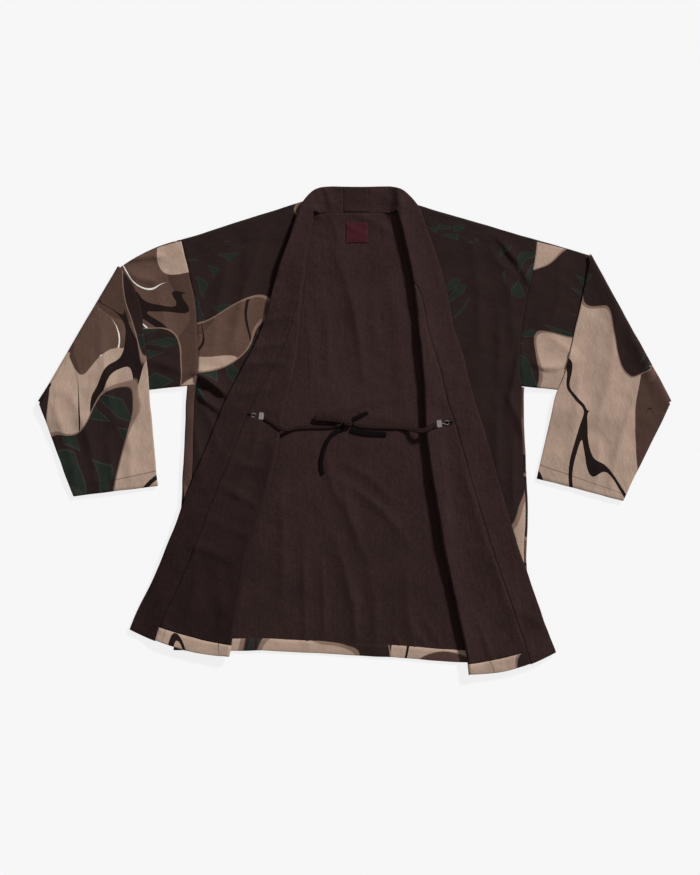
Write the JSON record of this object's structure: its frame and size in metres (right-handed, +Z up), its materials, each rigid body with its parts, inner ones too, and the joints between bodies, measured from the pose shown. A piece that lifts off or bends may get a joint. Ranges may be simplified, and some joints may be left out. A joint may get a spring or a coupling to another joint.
{
  "type": "haori jacket laid flat",
  "caption": "Lined short kimono jacket laid flat on its back, both fronts turned open, sleeves folded over, with a cord tied across the front.",
  "frame": {"origin": "centre of the bounding box in plan, on the surface that the jacket lies on", "axes": "+X towards the wearer's left, +Y towards the neck, +Z up from the surface"},
  "size_m": [1.051, 0.8102, 0.0164],
  "materials": {
    "outer_cloth": "printed cotton plain weave, matt",
    "lining_cloth": "dark brown slub cotton, matt",
    "band_cloth": "dark brown slub cotton, doubled and pressed",
    "label_cloth": "maroon woven tape, slight sheen",
    "cord_braid": "flat braided cotton cord",
    "nickel": "nickel-plated stamped steel"
  },
  "bodies": {
    "root": {"back_shell": "outer_cloth", "back_lining": "lining_cloth", "front_shell_right": "outer_cloth", "front_shell_left": "outer_cloth", "front_lining_right": "lining_cloth", "front_lining_left": "lining_cloth", "gusset_right": "outer_cloth", "gusset_left": "outer_cloth", "sleeve_right": "outer_cloth", "sleeve_left": "outer_cloth", "collar_band_right": "band_cloth", "collar_band_left": "band_cloth", "collar_band_neck": "band_cloth", "label": "label_cloth", "tie_right": "cord_braid", "tie_left": "cord_braid", "tie_knot": "cord_braid", "tie_bow": "cord_braid", "tie_stub": "cord_braid", "tie_tail_right": "cord_braid", "tie_tail_left": "cord_braid", "clasp_crimp_right": "nickel", "clasp_crimp_left": "nickel", "clasp_hook_right": "nickel", "clasp_hook_left": "nickel", "thread_loop_right": "cord_braid", "thread_loop_left": "cord_braid"}
  },
  "joints": []
}
